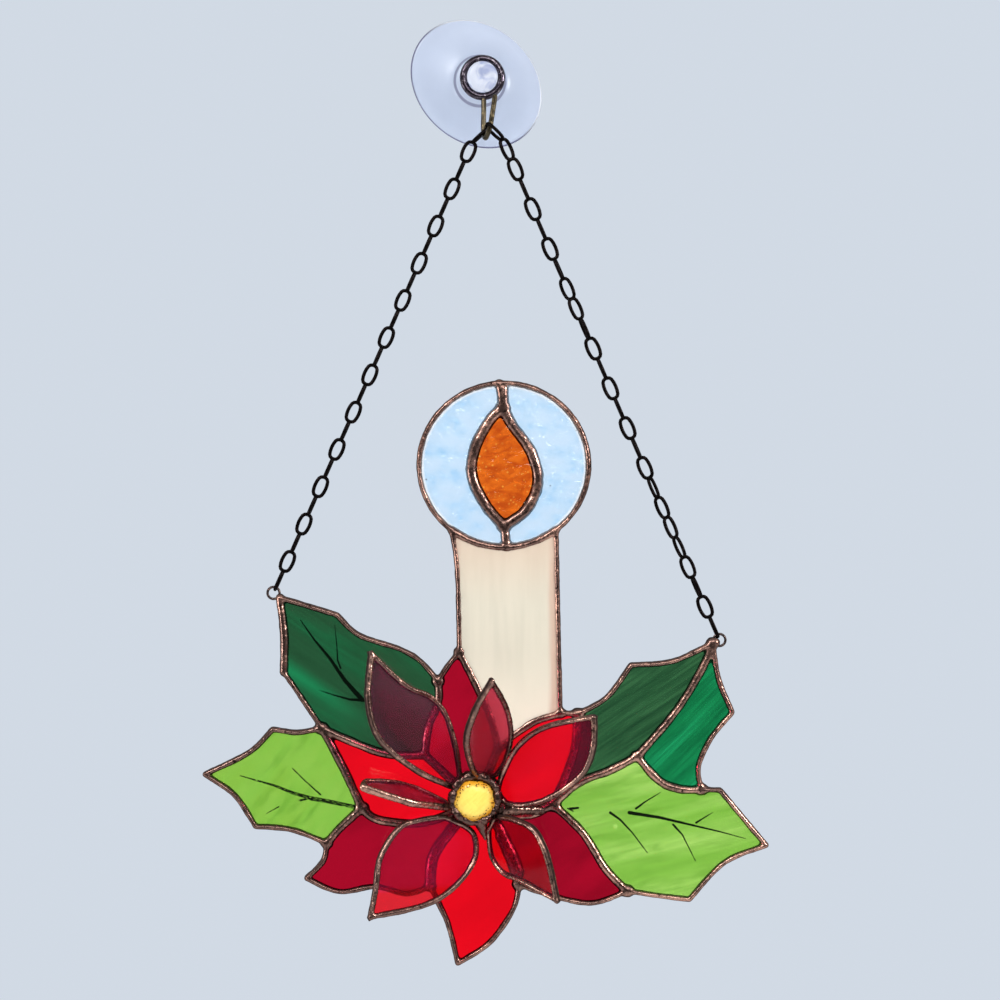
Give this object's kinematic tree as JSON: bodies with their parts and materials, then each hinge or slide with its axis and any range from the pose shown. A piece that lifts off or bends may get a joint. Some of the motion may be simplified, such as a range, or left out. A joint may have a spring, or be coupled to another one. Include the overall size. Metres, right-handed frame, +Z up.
{
  "type": "stained glass suncatcher",
  "caption": "Hanging stained glass suncatcher: a candle in a round halo, a poinsettia with raised petals and holly leaves in soldered seams, hung by chains from a suction-cup hook.",
  "frame": {"origin": "middle of the suction cup's flat back, on the window pane", "axes": "+Z up, +Y out of the back into the window pane, +X to the viewer's right; the viewer is on the -Y side"},
  "size_m": [0.1921, 0.0503, 0.3235],
  "materials": {
    "solder": "soldered copper foil, lumpy bead with a dark bronze-brown patina and coppery highlights",
    "clear_glass": "clear hammered cathedral glass, faintly blue",
    "amber_glass": "rippled amber-orange cathedral glass",
    "ivory_glass": "ivory opalescent glass, warmer at the edges",
    "dark_green_glass": "streaky dark green glass",
    "emerald_glass": "streaky emerald green glass",
    "lime_glass": "wispy lime green glass with thin painted dark veins",
    "scarlet_glass": "smooth bright red glass",
    "crimson_glass": "deep crimson glass, smooth and glossy",
    "yellow_glass": "yellow glass nugget with dark freckles at the edge",
    "black_chain": "black-brown oxidised steel, satin",
    "bronze_wire": "bent bronze-coloured wire, slightly tarnished",
    "clear_vinyl": "clear soft vinyl, slightly milky, glossy"
  },
  "bodies": {
    "root": {"solder_seams": "solder", "halo_glass_left": "clear_glass", "halo_glass_right": "clear_glass", "flame_glass": "amber_glass", "candle_glass": "ivory_glass", "holly_glass_upper_left": "dark_green_glass", "holly_glass_lower_left": "lime_glass", "holly_glass_upper_right": "dark_green_glass", "holly_glass_far_right": "emerald_glass", "holly_glass_lower_right": "lime_glass", "back_petal_glass_top": "crimson_glass", "back_petal_glass_left": "scarlet_glass", "back_petal_glass_lower_left": "crimson_glass", "back_petal_glass_bottom": "scarlet_glass", "back_petal_glass_lower_right": "crimson_glass", "back_petal_glass_right": "scarlet_glass", "hanging_ring_left": "solder", "hanging_ring_right": "solder", "front_petal_rim_upper_left": "solder", "front_petal_glass_upper_left": "crimson_glass", "front_petal_rim_top": "solder", "front_petal_glass_top": "crimson_glass", "front_petal_rim_right": "solder", "front_petal_glass_right": "scarlet_glass", "front_petal_rim_left": "solder", "front_petal_glass_left": "crimson_glass", "front_petal_rim_lower_left": "solder", "front_petal_glass_lower_left": "crimson_glass", "front_petal_rim_lower_right": "solder", "front_petal_glass_lower_right": "crimson_glass", "flower_centre_solder": "solder", "flower_centre_gem": "yellow_glass", "chain_left": "black_chain", "chain_right": "black_chain", "hook_wire": "bronze_wire", "suction_cup": "clear_vinyl"}
  },
  "joints": []
}
